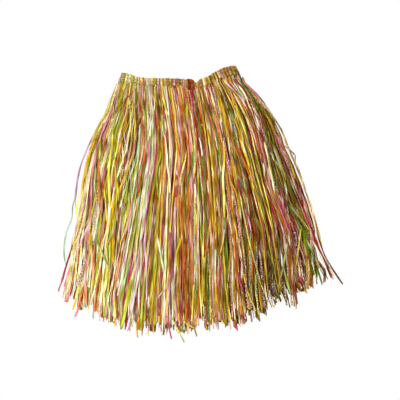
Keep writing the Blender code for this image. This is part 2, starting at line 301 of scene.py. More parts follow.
def through(places, values, at):
    """The values between their places, on a smooth curve through them."""
    numbers = np.arange(len(places))
    low = np.maximum(numbers - 1, 0)
    high = np.minimum(numbers + 1, numbers[-1])
    slopes = (values[high] - values[low]) / (places[high] - places[low])
    at = np.clip(at, places[0], places[-1])
    i = np.clip(np.searchsorted(places, at, side="right") - 1, 0, numbers[-1] - 1)
    span = places[i + 1] - places[i]
    return curve((at - places[i]) / span, span, values[i], values[i + 1], slopes[i], slopes[i + 1])


def read(rows, column, at):
    """A table's column at places between its rows. The places are the table's first column."""
    places = np.array([row[0] for row in rows], float)
    values = np.array([getattr(row, column) for row in rows], float)
    return through(places, values, at)


def uneven(kind, layer, across, fall=0.0):
    """A value between -1 and 1 that changes smoothly across the skirt and down it."""
    return noise.noise(Vector((across * kind.across, fall * kind.down, layer.seed + kind.seed)))


def sides(y):
    """X of the skirt's left and right side."""
    return read(SIDES, "left", y), read(SIDES, "right", y)


def place(share, fall):
    """X and Y of the places this share of the way across the skirt and this far down it."""
    top = read(WAIST, "y", share)
    y = top + fall * (read(HEM, "y", share) - top)
    left, right = sides(y)
    return left + share * (right - left), y


def film_place(share, fall):
    """As place, but with the film drawn in at the sides, where only single ribbons reach the outline."""
    x, y = place(share, fall)
    return x + (1.0 - share) * read(DRAWN_IN, "left", -y) - share * read(DRAWN_IN, "right", -y), y


def share_at(x, y):
    """How far across the skirt these places lie."""
    left, right = sides(y)
    return (x - left) / (right - left)


def pitch(share, fall):
    """The height from one layer to the next, which sinks towards the skirt's sides."""
    fullness = 1.0 - np.abs(2.0 * np.clip(share, 0.0, 1.0) - 1.0) ** SIDE_TAPER
    return ROOT_PITCH + (read(LOFT, "pitch", fall) - ROOT_PITCH) * fullness


def stack_top(x, y):
    """How high the layers reach at places in plan: nothing outside the fringe."""
    share = share_at(x, y)
    top, hem = read(WAIST, "y", share), read(HEM, "y", share)
    inside = ease(share / SIDE_FALLOFF + 0.5) * ease((1 - share) / SIDE_FALLOFF + 0.5)
    return len(LAYERS) * pitch(share, (top - y) / (top - hem)) * inside


def cells(layer, fall):
    """The borders between a layer's strands. They wander less than in the solids, as ribbons stray too."""
    wander = layer.wander * float(ease(fall / FULL_WANDER)) / layer.strands
    borders = []
    for k in range(layer.strands + 1):
        share = k / layer.strands
        own = uneven(OWN, layer, k, fall)
        shared = uneven(SHARED, layer, share, fall) * math.sin(math.pi * share)
        borders.append(share + WANDER_KEPT * wander * (OWN_WANDER * own + SHARED_WANDER * shared))
    return borders


def reach(layer, strand):
    """How far this strand's end lies below the hem."""
    strays = [row for row in STRAYS if row.layer == layer.name and row.strand % layer.strands == strand]
    below = RAGGED * uneven(END, layer, strand) + sum(row.extra for row in strays)
    if (strand + int(layer.seed)) % LONG_STRAND_EVERY == 0:
        below += LONG_STRAND_EXTRA
    return below


# ---- strips of film as joined meshes


def ripple(rng, wave, distance):
    """One smooth random line for each strip: a few waves near the given length, at most about the size."""
    strips = distance.shape[0]
    total = np.zeros_like(distance)
    for scale, share in RIPPLES:
        lengths = wave.length * scale * rng.uniform(*RIPPLE_LENGTHS, (strips, 1))
        phases = rng.uniform(0, 2 * math.pi, (strips, 1))
        total += share * np.sin(2 * math.pi * distance / lengths + phases)
    return wave.size * total


def bends(rng, distance, size):
    """One line for each strip that runs straight between random places, at most its size away."""
    count = int(distance.max() / BEND_EVERY) + 4
    places = size * rng.uniform(-1.0, 1.0, (distance.shape[0], count))
    start = rng.uniform(*FIRST_BEND, (distance.shape[0], 1))
    total = np.zeros_like(distance)
    for shift in BEND_ROUNDING:
        at = distance / BEND_EVERY + start + shift
        knot = np.floor(at).astype(int)
        before = np.take_along_axis(places, knot, axis=1)
        after = np.take_along_axis(places, knot + 1, axis=1)
        total += before + (after - before) * (at - knot)
    return total / len(BEND_ROUNDING)


def for_each_point(rng, wave, distance, across):
    """A smooth random line along each strip for each of its points across."""
    lines = ripple(rng, wave, np.repeat(distance, across, axis=0))
    return lines.reshape(len(distance), across, -1).transpose(0, 2, 1)


def creases(rng, distance):
    """The heights of the long folds and of the fine crumple of each strip's film."""
    folds = for_each_point(rng, CREASE, distance, ACROSS + 1)
    folds = folds - folds.min(axis=2, keepdims=True)
    return folds + rng.uniform(0.0, CRUMPLE, folds.shape)


def run_length(x, y):
    """The distance along each strip, from its first station."""
    steps = np.hypot(np.diff(x, axis=1), np.diff(y, axis=1))
    return np.concatenate([np.zeros((x.shape[0], 1)), np.cumsum(steps, axis=1)], axis=1)


def moved_aside(x, y, shift):
    """The stations moved at right angles to their strip, in plan."""
    side_x, side_y = sideways(x, y)
    return x + side_x * shift, y + side_y * shift


def sideways(x, y):
    """The unit direction across each strip, in plan, at each station."""
    dx, dy = np.gradient(x, axis=1), np.gradient(y, axis=1)
    length = np.maximum(np.hypot(dx, dy), 1e-9)
    return -dy / length, dx / length


def sweep(rng, x, y, z, half, roll, arch, distance):
    """The points of each strip: strips x stations x points across x 3.

    half is half the width, roll the tilt, and arch how far the film stands up. The rest is drawn here."""
    skew = rng.uniform(-SKEW, SKEW, len(x))[:, None, None]
    slant = rng.uniform(-SLANT, SLANT, len(x))[:, None, None]
    crumple = creases(rng, distance)
    across = np.linspace(-1.0, 1.0, ACROSS + 1)
    side_x, side_y = (side[..., None] for side in sideways(x, y))
    reach_out = (half * np.cos(roll))[..., None] * across
    crown = arch[..., None] * (1.0 - np.abs(across + skew * (1.0 - across**2)) ** FOLD)
    lifted = z[..., None] + crown + (half * np.sin(roll))[..., None] * across + crumple
    onward = np.zeros_like(reach_out)
    onward[:, -1:] = slant * half[:, -1:, None] * across
    onward[:, -2:-1] = onward[:, -1:] / 2
    far_x = x[..., None] + side_x * reach_out + side_y * onward
    far_y = y[..., None] + side_y * reach_out - side_x * onward
    return np.stack([far_x, far_y, lifted], axis=-1)


def grid_faces(strips, along, across):
    """The corner indices of the quads of many strips, each a grid of points."""
    row, column = np.meshgrid(np.arange(along - 1), np.arange(across - 1), indexing="ij")
    first = (row * across + column).reshape(-1)
    quad = np.stack([first, first + 1, first + across + 1, first + across], axis=1)
    starts = np.arange(strips) * along * across
    return (starts[:, None, None] + quad[None]).reshape(-1, 4)


def grid_uvs(strips, along, across, margin=0.06, trim=0.002):
    """One row of the picture for each strip: u runs along it and v across it."""
    u = np.linspace(trim, 1.0 - trim, along)[None, :, None]
    v = np.linspace(margin, 1.0 - margin, across)[None, None, :]
    v = (np.arange(strips)[:, None, None] + v) / strips
    shape = (strips, along, across)
    return np.stack([np.broadcast_to(u, shape), np.broadcast_to(v, shape)], axis=-1)


def film_spots(points):
    """Millimetres along and across each point's own strip, and a third value that parts the strips."""
    along = np.linalg.norm(np.diff(points, axis=1), axis=-1).mean(axis=2, keepdims=True)
    across = np.linalg.norm(np.diff(points, axis=2), axis=-1)
    spots = np.zeros(points.shape)
    spots[:, 1:, :, 0] = np.cumsum(along, axis=1)
    spots[:, :, 1:, 1] = np.cumsum(across, axis=2)
    spots[..., 2] = STRIP_APART * np.arange(len(points))[:, None, None]
    return spots


def add_object(name, data):
    """An object with this mesh, lamp or camera, in the scene."""
    made = bpy.data.objects.new(name, data)
    bpy.context.scene.collection.objects.link(made)
    return made


def strip_object(name, points, colours, material, smooth=False):
    """All the strips of one piece in one mesh. colours has one for each point, in linear values."""
    strips, along, across = points.shape[:3]
    faces = grid_faces(strips, along, across)
    mesh = bpy.data.meshes.new(name)
    mesh.vertices.add(strips * along * across)
    mesh.vertices.foreach_set("co", ((points.reshape(-1, 3) - SHIFT) * MM).astype(np.float32).ravel())
    mesh.loops.add(faces.size)
    mesh.loops.foreach_set("vertex_index", faces.astype(np.int32).ravel())
    mesh.polygons.add(len(faces))
    mesh.polygons.foreach_set("loop_start", np.arange(0, faces.size, 4, dtype=np.int32))
    mesh.update(calc_edges=True)
    uv = mesh.uv_layers.new(name="OFBake")
    flat_uv = grid_uvs(strips, along, across).reshape(-1, 2)[faces.ravel()]
    uv.data.foreach_set("uv", flat_uv.astype(np.float32).ravel())
    paint = mesh.attributes.new("film_colour", "FLOAT_COLOR", "POINT")
    rgba = np.ones((strips, along, across, 4), np.float32)
    rgba[..., :3] = colours
    paint.data.foreach_set("color", rgba.ravel())
    spot = mesh.attributes.new("film_spot", "FLOAT_VECTOR", "POINT")
    spot.data.foreach_set("vector", film_spots(points).astype(np.float32).ravel())
    mesh.polygons.foreach_set("use_smooth", np.full(len(faces), smooth))
    mesh.materials.append(material)
    mesh.validate()
    return add_object(name, mesh)


def pick_films(rng, shares, deep):
    """A film for each strip, by how common it is there. Some have their lock's film, as in every layer."""
    left, right, inside = (FILM_ROWS[column] for column in ("left", "right", "deep"))
    picked = []
    for share in np.clip(shares, 0.0, 1.0):
        over = ease(share / LEFT_SIDE)
        weights = (left * (1 - over) + right * over) * (1 - deep) + inside * deep
        lock = np.random.default_rng(LOCK_SEED + int(share * LOCKS))
        source = lock if rng.uniform() < LOCK_ODDS else rng
        picked.append(source.choice(len(FILMS), p=weights / weights.sum()))
    return np.array(picked)


def shaded(colours, tone, amber):
    """Painted light and shade at these tones: light colours pale as highlights, dark ones lie deep in amber
    light.
    """
    brightest = colours.max(axis=-1, keepdims=True)
    pale = np.clip(PALING * (tone - 1.0), 0.0, PALEST)
    pink = np.clip(PINKNESS * (colours[..., 2:] - colours[..., 1:2]) / brightest, 0.0, 1.0)
    plain = colours.min(axis=-1, keepdims=True) / brightest
    deep = np.maximum(DEEPENING * (1.0 - tone), 0.0) * (1.0 - RED_KEPT * pink) * (1.0 - PALE_KEPT * plain)
    shade = np.array(AMBER) ** (amber * deep)
    return (colours + (brightest - colours) * pale) * shade * np.minimum(tone, LIGHTEST)


def film_colours(
    rng, films, others, shares, distance, light=1.0, across=ACROSS + 1, apart=EDGES_APART, loose=False
):
    """The colour of each point, shimmering from the strip's own film towards another's colour.

    shares is where each strip lies across the skirt, whose right side has deeper painted shade and more
    painted glints.
    light is the painted light and shade of broad patches. A loose one has no painted glints or amber shade."""
    one_each = (len(films), 1, 1)
    edges = np.linspace(-1.0, 1.0, across)
    own, other = (FILM_COLOURS[numbers][:, None, None, :] for numbers in (films, others))
    lean = edges * rng.uniform(-apart, apart, one_each)
    shimmer = SHIMMERING[0] * ripple(rng, SHIMMER, distance)[..., None] + lean + SHIMMERING[1]
    turn = MOST_TURNED * ease(shimmer)[..., None]
    side = np.clip(shares, 0.0, 1.0)[:, None, None]
    vivid = 1.0 - own.min(axis=-1)
    tone = rng.uniform(*(DUSK if loose else TONES), one_each)
    tone = tone * (1 + ripple(rng, SHADE, distance)[..., None])
    tone = tone * (1 + for_each_point(rng, STREAK, distance, across))
    tone = tone * (1 + EDGE_SHADING * edges * rng.uniform(-1.0, 1.0, one_each))
    tone = np.maximum(1.0 + (tone - 1.0) * (1.0 + BOLDER_RIGHT * side), DARKEST)
    tone = tone * (1.0 - DEEPER_RIGHT * side * vivid**2 * (not loose))
    tone = tone * (1.0 - DUSKIER_LEFT * (1.0 - side) ** 2)
    tone = tone * (np.ones_like(distance) * light)[..., None]
    toned = shaded(own * (1 - turn) + other * turn, tone[..., None], 0.0 if loose else 1.0)
    # Painted glints: pale highlights in a narrow band along some strips.
    middle = rng.uniform(-GLINT_PLACES, GLINT_PLACES, one_each)
    narrow = np.maximum(1.0 - np.abs(edges - middle), 0.0)
    lively = GLINT_SHARPNESS * ripple(rng, GLINT, distance) - GLINT_RARITY + GLINTS_RIGHT * side[..., 0]
    glint = ease(lively)[..., None] * narrow * rng.choice(GLINT_STRENGTHS, one_each, p=GLINT_ODDS)
    glint = glint[..., None] * (not loose)
    return np.clip(toned * (1 - glint) + GLINT_COLOUR * glint, 0.0, 1.0)


# ---- the fringe


def falls_of(stations, starts, ends):
    """How far down each station of each ribbon lies: closer together near the root and the end."""
    t = np.linspace(0.0, 1.0, stations)
    t = (t - CLOSER * np.sin(2 * math.pi * t))[None, :]
    return starts[:, None] + t * (ends - starts)[:, None]


def ribbon_shares(layer, rng, falls):
    """Where each ribbon lies across the skirt at each of its stations."""
    borders = np.array([cells(layer, float(fall)) for fall in BORDER_FALLS])
    strand = np.repeat(np.arange(layer.strands), layer.ribbons)
    number = np.tile(np.arange(layer.ribbons), layer.strands)
    left = np.array([np.interp(f, BORDER_FALLS, borders[:, s]) for s, f in zip(strand, falls)])
    right = np.array([np.interp(f, BORDER_FALLS, borders[:, s + 1]) for s, f in zip(strand, falls)])
    middle = ((number + 0.5) / layer.ribbons)[:, None]
    middle = middle + rng.uniform(-UNEVEN_ROOTS, UNEVEN_ROOTS, (len(strand), 1))
    middle_share = (strand[:, None] + middle) / layer.strands
    size = layer.stray * (STRAY_SHARES[0] + STRAY_SHARES[1] * rng.uniform(0.0, 1.0, (len(strand), 1)) ** 2)
    size = size * np.minimum(1.0, STRAY_ROOM * middle_share * (1.0 - middle_share))
    away = bends(rng, falls * LENGTH, size) * ease(falls / FULL_STRAY)
    share = left + (right - left) * (middle + away)
    share = INSET + np.abs(share - INSET)
    share = 1.0 - INSET - np.abs(1.0 - INSET - share)
    return strand, number, share


def notches(x):
    """How much sooner ribbons end at these places along the hem, for the gaps between the locks."""
    depths = [noise.noise(Vector((place_at / NOTCH_EVERY, 0.0, NOTCH_SEED))) - NOTCH_FROM for place_at in x]
    gap = HEM_GAP.depth * np.exp(-(((x - HEM_GAP.x) / HEM_GAP.half) ** 4))
    return np.maximum(NOTCH_DEPTH * np.maximum(depths, 0.0), gap)


def stray_pushes(layer, strand, falls):
    """How far along X the strands that leave the outline are pushed."""
    push = np.zeros_like(falls)
    for row in STRAYS:
        if row.layer == layer.name:
            mine = strand == row.strand % layer.strands
            push[mine] = row.push * ease((falls[mine] - row.start) / (1.0 - row.start))
    return push


def ribbon_ends(layer, rng):
    """The fall at which each ribbon is cut."""
    ends = []
    for strand in range(layer.strands):
        share = (strand + 0.5) / layer.strands
        length = float(read(WAIST, "y", share) - read(HEM, "y", share))
        for _ in range(layer.ribbons):
            cut = reach(layer, strand) + LONGER_END - layer.cut * rng.uniform() ** MORE_LONG_ENDS
            ends.append(1.0 + cut / length)
    return np.array(ends)


def ribbon_widths(layer, rng, films, distance, flared):
    """Half the width of each ribbon at each station, and how open its end is there."""
    body = layer.width * FILM_ROWS["wide"][films][:, None] * rng.uniform(*WIDTHS, (distance.shape[0], 1))
    width = ROOT_WIDTH + (body - ROOT_WIDTH) * ease(distance / FULL_WIDTH)
    width = width * (1.0 + ripple(rng, WIDEN, distance))
    left_over = distance[:, -1:] - distance
    open_end = ease(1.0 - left_over / FLARE_LENGTH) * flared
    return width * (1.0 + open_end) / 2, open_end


def straightened(share, falls, x):
    """The places moved towards straight lines from the root to the end, the more the nearer the middle."""
    along = falls / falls[:, -1:]
    line = x[:, :1] + (x[:, -1:] - x[:, :1]) * along
    return x + STRAIGHTENED * np.sin(math.pi * share) * (line - x)


def led_aside(share, falls):
    """How far along X the ribbons are led aside, on a smooth curve down each."""
    quarters = [read(LEADS, column, share) for column in LEADS[0]._fields[1:]]
    steps = np.stack([np.zeros_like(share)] + quarters)
    slopes = np.gradient(steps, axis=0)
    at = np.clip(falls, 0.0, 1.0) * (len(steps) - 1)
    before = np.minimum(at.astype(int), len(steps) - 2)[None]
    start, end = (np.take_along_axis(steps, before + k, axis=0)[0] for k in (0, 1))
    leave, arrive = (np.take_along_axis(slopes, before + k, axis=0)[0] for k in (0, 1))
    return curve(at - before[0], 1.0, start, end, leave, arrive)


def build_ribbons(layer, index, material):
    """One layer of the fringe, with all its ribbons in one mesh."""
    rng = np.random.default_rng(layer.draws)
    ends = ribbon_ends(layer, rng)
    over_edge = OVER_EDGE / LENGTH if layer is LAYERS[-1] else 0.0
    falls = falls_of(layer.stations, -over_edge * rng.uniform(0.0, 1.0, len(ends)), ends)
    strand, number, share = ribbon_shares(layer, rng, falls)
    ends_at = (film_place(share, falls)[0] + led_aside(share, falls))[:, -1]
    falls = falls * (1.0 - notches(ends_at) / LENGTH)[:, None]
    x, y = film_place(share, falls)
    aside = led_aside(share, falls)
    x = straightened(share, falls, x) + stray_pushes(layer, strand, falls) + aside
    left, right = sides(y)
    y = y + falls * (read(HEM, "y", share + aside / (right - left)) - read(HEM, "y", share))
    distance = run_length(x, y)
    loose = ease(distance / LOOSE_FROM)
    x, y = moved_aside(x, y, (ripple(rng, WAVER, distance) + ripple(rng, TREMBLE, distance)) * loose)
    flared = rng.choice(END_KINDS, (len(strand), 1), p=END_ODDS)
    at_side = share.mean(axis=1)
    films = pick_films(rng, at_side, layer.deep)
    others = pick_films(rng, at_side, layer.deep)
    near_closing = np.abs(share[:, 0] - CLOSING_SHARE - NEAR_CLOSING[0]) < NEAR_CLOSING[1]
    films = np.where(near_closing, FILM_NUMBER["crimson"], films)
    half, open_end = ribbon_widths(layer, rng, films, distance, flared)
    step_up = pitch(share, np.clip(falls, 0, 1))
    room = step_up - CLEAR
    part = room / layer.ribbons
    arch = np.minimum(MOST_ARCHED, ARCHED[0] * part + ARCHED[1]) * rng.uniform(*ARCHES, (len(strand), 1))
    arch = arch * (1.0 - FLAT_END * np.abs(open_end))
    roll = ripple(rng, ROLL, distance) * np.minimum(1.0, part / ROLL_ROOM) * loose
    roll = np.clip(roll, -part * MOST_ROLLED / half, part * MOST_ROLLED / half)
    slot = (number + 0.5 * (strand % 2))[:, None] / layer.ribbons
    z = index * step_up + slot * room * PILED + np.abs(roll) * half
    z = z + ripple(rng, FLUTTER, distance) * loose * FLUTTERED
    z = np.maximum(z, SMALLEST_HEIGHT + np.abs(np.sin(roll)) * half)
    if over_edge:
        z = z + EDGE_LIFT * (1.0 - ease(falls * LENGTH / EDGE_LIFTED))
    points = sweep(rng, x, y, z, half, roll, arch, distance)
    ROOTS[layer.name] = (share[:, 0], films, others)
    colours = film_colours(rng, films, others, at_side, distance, painted_light_and_shade(x, y))
    obj = strip_object(layer.name + "_ribbons", points, colours, material)
    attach(obj, "root")
    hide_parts(layer.name)
    return obj


# ---- the casing

STRIPS_A_GATHER = 2
TURN_STRIPS = 3
TURN_SHARE = 0.026  # the length of each turn, in shares of the skirt's width
STRIP_OVERLAP = 0.58  # half a strip's width against the room that it has
STRIP_WIDTHS = (0.8, 1.25)  # of single strips, against the mean
STRIP_SHIFT = 0.16  # how unevenly they are placed
PINCHED = 0.22  # how much narrower they are in a row of stitches
CASING_LENGTH = 42  # of a strip, along the profile
CASING_LIFT = 0.3  # of every second strip
CASING_TINT = linear(204, 184, 146)
CASING_FADED = 0.1
UNEVEN_TOPS = 1.3
ROUND_TOPS = 1.4  # how far the corners of the strips' upper folds are rounded
CROWNS = (1.3, 2.6)  # how round the strips' arches are, as FOLD
PUFFED = (0.3, 0.7, 0.35)  # how far a strip puffs out: all of it, its middle more, and its edges less
PUFFS = (0.75, 1.0)  # of single strips, against the fullest
INSIDE_LEG = HOLLOW / 2 + 0.5  # from the ring's middle line to a strip's inner leg
KEPT_INSIDE = 0.06  # how far the film stays below the solid's surface
TWIST = 0.3
CASING_ACROSS = 6  # points across a strip
CASING_APART = 1.6  # how far each edge of a strip may lean towards either colour
TURN_WIDER = 1.3  # how much wider the strips are at the middle of the ring's turns
# Over the casing's upper edge and down its outer side: which leg (0 the inner side, 1 the outer), how high
# up, and how far it puffs out there.
PROFILE = table(
    "leg height full",
    (0.00, 0.00, 0.1), (0.00, 0.22, 0.3), (0.00, 0.50, 0.3), (0.00, 0.78, 0.3), (0.06, 0.93, 0.5),
    (0.30, 0.985, 0.7), (0.55, 1.00, 0.8), (0.80, 0.985, 0.9), (0.95, 0.95, 1.0), (1.00, 0.88, 1.0),
    (1.00, 0.79, 0.85), (1.00, 0.735, 0.45), (1.00, 0.69, 0.10), (1.00, 0.645, 0.45), (1.00, 0.58, 0.90),
    (1.00, 0.50, 1.00), (1.00, 0.43, 0.85), (1.00, 0.385, 0.45), (1.00, 0.34, 0.10), (1.00, 0.295, 0.45),
    (1.00, 0.22, 0.85), (1.00, 0.12, 0.70), (1.00, 0.04, 0.25), (1.00, -0.04, 0.10),
)
STITCH_HEIGHTS = (0.34, 0.69)
STITCH_SHARE = 0.36  # half a stitch, of the room from one to the next
STITCH_RADIUS = 0.24
STITCH_OFFSET = 3.05  # from the ring's middle line
STITCH_DIP = 0.5  # where a stitch enters the film
STITCH_WAVE = (0.012, 90)  # how far a row of stitches wavers, and how often
STITCH_SHIFT = 0.008
STITCH_GRID = 7  # points along a stitch, and round it
THREAD_TINT = linear(176, 142, 60)
PUFF = 1.7  # how far a gather stands out between the stitches


def waist_direction(share):
    """The unit direction along the casing's lower edge."""
    x1, y1 = place(share + STEP, 0.0)
    x0, y0 = place(share - STEP, 0.0)
    length = np.hypot(x1 - x0, y1 - y0)
    return (x1 - x0) / length, (y1 - y0) / length


def casing_point(share, height, out_along, out_up, offset):
    """Points of the casing: how far up it, and how far out from the middle line of the flattened ring."""
    lean = np.radians(read(WAIST, "lean", share))
    along_x, along_y = waist_direction(share)
    x, y = place(share, 0.0)
    x = x + np.sin(lean) * height + along_x * out_along * offset
    y = y + np.cos(lean) * height + along_y * out_along * offset
    z = WALL + HOLLOW / 2 + out_up * offset + np.zeros_like(height)
    return np.stack([x, y, z], axis=-1)


def ring(at):
    """Where places round the ring lie: their share of the skirt's width, and the way outwards there."""
    span = 1.0 - 2 * END_SHARE
    at = np.mod(at, 1.0) * (2 * (span + TURN_SHARE))
    right_end = 1.0 - END_SHARE
    front, turn, back = at < span, at < span + TURN_SHARE, at < 2 * span + TURN_SHARE
    parts = [front, turn, back]
    share = np.select(parts, [END_SHARE + at, right_end, right_end - (at - span - TURN_SHARE)], END_SHARE)
    turned = math.pi * (at - span) / TURN_SHARE
    turned_on = math.pi * (1 + (at - 2 * span - TURN_SHARE) / TURN_SHARE)
    angle = np.select(parts, [0.0, turned, math.pi], turned_on)
    return share, np.sin(angle), np.cos(angle)


def build_casing(material):
    """The ring of narrow strips, each folded over the upper edge and sewn down in two rows."""
    rng = np.random.default_rng(31)
    one_each = (RING_STRIPS, 1, 1)
    shifted = rng.uniform(-STRIP_SHIFT, STRIP_SHIFT, RING_STRIPS)
    middle = (np.arange(RING_STRIPS) + 0.5 + shifted) / RING_STRIPS
    half = STRIP_OVERLAP / RING_STRIPS * rng.uniform(*STRIP_WIDTHS, RING_STRIPS)
    half = half * (1.0 + TURN_WIDER * (1.0 - np.abs(ring(middle)[2])))
    across = np.linspace(-1.0, 1.0, CASING_ACROSS)
    leg, height, full = np.array(PROFILE).T[:, None, :, None]
    middle, half = middle.reshape(one_each), half.reshape(one_each)
    at = middle + half * across
    at = middle + (at - middle) * (1.0 - PINCHED * (1.0 - full))
    share, out_along, out_up = ring(at)
    tall = read(WAIST, "height", share) - rng.uniform(0.0, UNEVEN_TOPS, one_each)
    crown = 1.0 - np.abs(across) ** rng.uniform(*CROWNS, one_each)
    tall = tall - ROUND_TOPS * (1.0 - crown)
    outer = HOLLOW / 2 + WALL
    swell = full * (PUFFED[0] + PUFFED[1] * crown) - PUFFED[2] * (1.0 - crown)
    swell = PUFF * swell * rng.uniform(*PUFFS, one_each)
    twist = rng.uniform(-TWIST, TWIST, one_each) * across
    every_second = (np.arange(RING_STRIPS) % 2).reshape(one_each)
    over = outer - PUFF - CASING_LIFT + swell + twist * full + CASING_LIFT * every_second
    over = np.minimum(over, outer - KEPT_INSIDE)
    offset = INSIDE_LEG + (over - INSIDE_LEG) * leg
    points = casing_point(share, tall * height, out_along, out_up, offset)
    distance = np.tile(np.linspace(0, CASING_LENGTH, len(PROFILE)), (RING_STRIPS, 1))
    films, others = films_below(share[:, 0, 2], out_up[:, 0, 2])
    middles = share[:, 0, 2]
    colours = film_colours(rng, films, others, middles, distance, across=CASING_ACROSS, apart=CASING_APART)
    colours = colours + (CASING_TINT - colours) * CASING_FADED
    obj = strip_object("casing_strips", points, colours, material)
    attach(obj, "root")
    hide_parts("waistband")
    return obj


def build_stitches():
    """Two rows of stitches hold the gathers down, on both sides of the ring."""
    rng = np.random.default_rng(61)
    count = 2 * GATHERS * STRIPS_A_GATHER
    along = np.linspace(-1.0, 1.0, STITCH_GRID)[None, :]
    around = np.linspace(0.0, 2 * math.pi, STITCH_GRID)[None, None, :]
    middle = ((np.arange(count) + 0.5) / count)[:, None]
    share, out_along, out_up = (value[..., None] for value in ring(middle + along * STITCH_SHARE / count))
    offset = (STITCH_OFFSET - STITCH_DIP * along**4)[..., None] + STITCH_RADIUS * np.cos(around)
    rows = []
    for height in STITCH_HEIGHTS:
        waver = STITCH_WAVE[0] * np.sin(middle * STITCH_WAVE[1])
        waver = height + waver + rng.uniform(-STITCH_SHIFT, STITCH_SHIFT, (count, 1))
        tall = read(WAIST, "height", share) * waver[..., None] + STITCH_RADIUS * np.sin(around)
        rows.append(casing_point(share + np.zeros_like(tall), tall, out_along, out_up, offset))
    points = np.concatenate(rows)
    colours = np.broadcast_to(THREAD_TINT, points.shape)
    obj = strip_object("casing_stitches", points, colours, thread_material(), smooth=True)
    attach(obj, "root")
    return obj


def films_below(shares, out_up):
    """The films of the nearest ribbon for each casing strip, swapped where neighbours would be alike."""
    picked = []
    for share, up in zip(shares, out_up):
        roots, films, others = ROOTS["fringe_loose_top" if up > 0 else "fringe_back_under"]
        nearest = int(np.argmin(np.abs(roots - share)))
        pair = (films[nearest], others[nearest])
        if picked and pair[0] == picked[-1][0]:
            pair = pair[::-1]
        picked.append(pair)
    return tuple(np.array(picked).T)


CLOSING_GRID = (26, 9)  # points up the closing strip and across it
CLOSING_FROM = -0.05  # a little below the casing's lower edge
CLOSING_LENGTH = 17
CLOSING_OVER = 0.1  # above its solid's underside
CLOSING_EDGE = (0.04, 9)  # how far its edges waver, and how often
CLOSING_ARCH = (1.15, 2.2)  # how far it stands up, and how round it is
CLOSING_FOLDS = (0.28, 7.5, 2.2)  # how high its slanting folds are, and how often they come across and up
CLOSING_DENTS = (0.16, 14)  # how deep they are, and how often they come
CLOSING_PRESSED = (0.5, 0.05)  # how deep the stitches press it in, and over which share of the height


def closing_half(up):
    """Half the closing strip's width, as a share of the skirt's, this share of the way up the casing."""
    width = place(1.0, 0.0)[0] - place(0.0, 0.0)[0]
    return CLOSING_WIDTH / 2 / width * (1.0 - CLOSING_PINCH * np.sin(math.pi * up))


def build_closing(material):
    """The wide strip over the join, folded over the casing's upper edge."""
    rng = np.random.default_rng(41)
    rows, columns = CLOSING_GRID
    up = np.linspace(CLOSING_FROM, 1.0, rows)[:, None]
    across = np.linspace(-1.0, 1.0, columns)[None, :]
    edge = 1.0 + CLOSING_EDGE[0] * np.sin(CLOSING_EDGE[1] * up)
    share = CLOSING_SHARE + across * closing_half(np.clip(up, 0, 1)) * edge
    arch = CLOSING_ARCH[0] * (1.0 - np.abs(across) ** CLOSING_ARCH[1])
    high, over, onward = CLOSING_FOLDS
    folds = high * np.sin(over * across + onward * up) * (1 - np.abs(across))
    dents = CLOSING_DENTS[0] * np.sin(CLOSING_DENTS[1] * up)
    deep, reached = CLOSING_PRESSED
    press = deep * sum(np.exp(-(((up - row) / reached) ** 2)) for row in STITCH_HEIGHTS)
    offset = HOLLOW / 2 + WALL + CLEAR + CLOSING_OVER + np.maximum(arch + folds + dents - press, 0.0)
    points = casing_point(share, read(WAIST, "height", share) * up, 0.0, 1.0, offset)
    distance = np.linspace(0, CLOSING_LENGTH, rows)[None]
    crimson, brown = (np.array([FILM_NUMBER[film]]) for film in ("crimson", "brown"))
    colours = film_colours(rng, crimson, brown, np.array([CLOSING_SHARE]), distance, across=columns)
    obj = strip_object("closing_film", points[None], colours, material)
    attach(obj, "root")
    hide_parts("closing_strip")
    return obj


# ---- ribbons listed one by one

# The ones that leave the outline: each one's film and width, and then the points that it passes, as X, Y
# and the share of the stack's height that it lies at: 1 is on top of all the layers.
LOOSE = (
    ("lilac", 3.2, -188, 128, 0.6, -202, 97, 0.6, -215, 65, 0.4, -222, 27, 0.4, -224, -2, 0.4,
     -222, -20, 0.4),
    ("mint", 2.9, -222, 18, 0.6, -229, -7, 0.4, -231, -29, 0.4, -240, -54, 0.3, -244, -77, 0.3,
     -244, -99, 0.3, -240, -119, 0.3),
    ("crimson", 3.4, -222, -61, 0.6, -234, -94, 0.5, -248, -139, 0.4, -255, -160, 0.3),
    ("gold", 4.0, 100, 196, 1.0, 126, 160, 0.9, 147, 128, 0.6, 158, 99, 0.5, 179, 52, 0.4, 196, 0, 0.4,
     204, -23, 0.4, 211, -49, 0.4, 220, -86, 0.4),
    ("brown", 2.2, 140, 106, 0.8, 148, 104, 0.6, 164, 92, 0.4, 171, 84, 0.4, 170, 70, 0.4, 166, 62, 0.5),
    ("gold", 4.2, -141, 229, 1.0, -145, 218, 1.0, -141, 204, 1.0, -139, 193, 1.0, -144, 171, 1.0,
     -152, 146, 1.0),
)

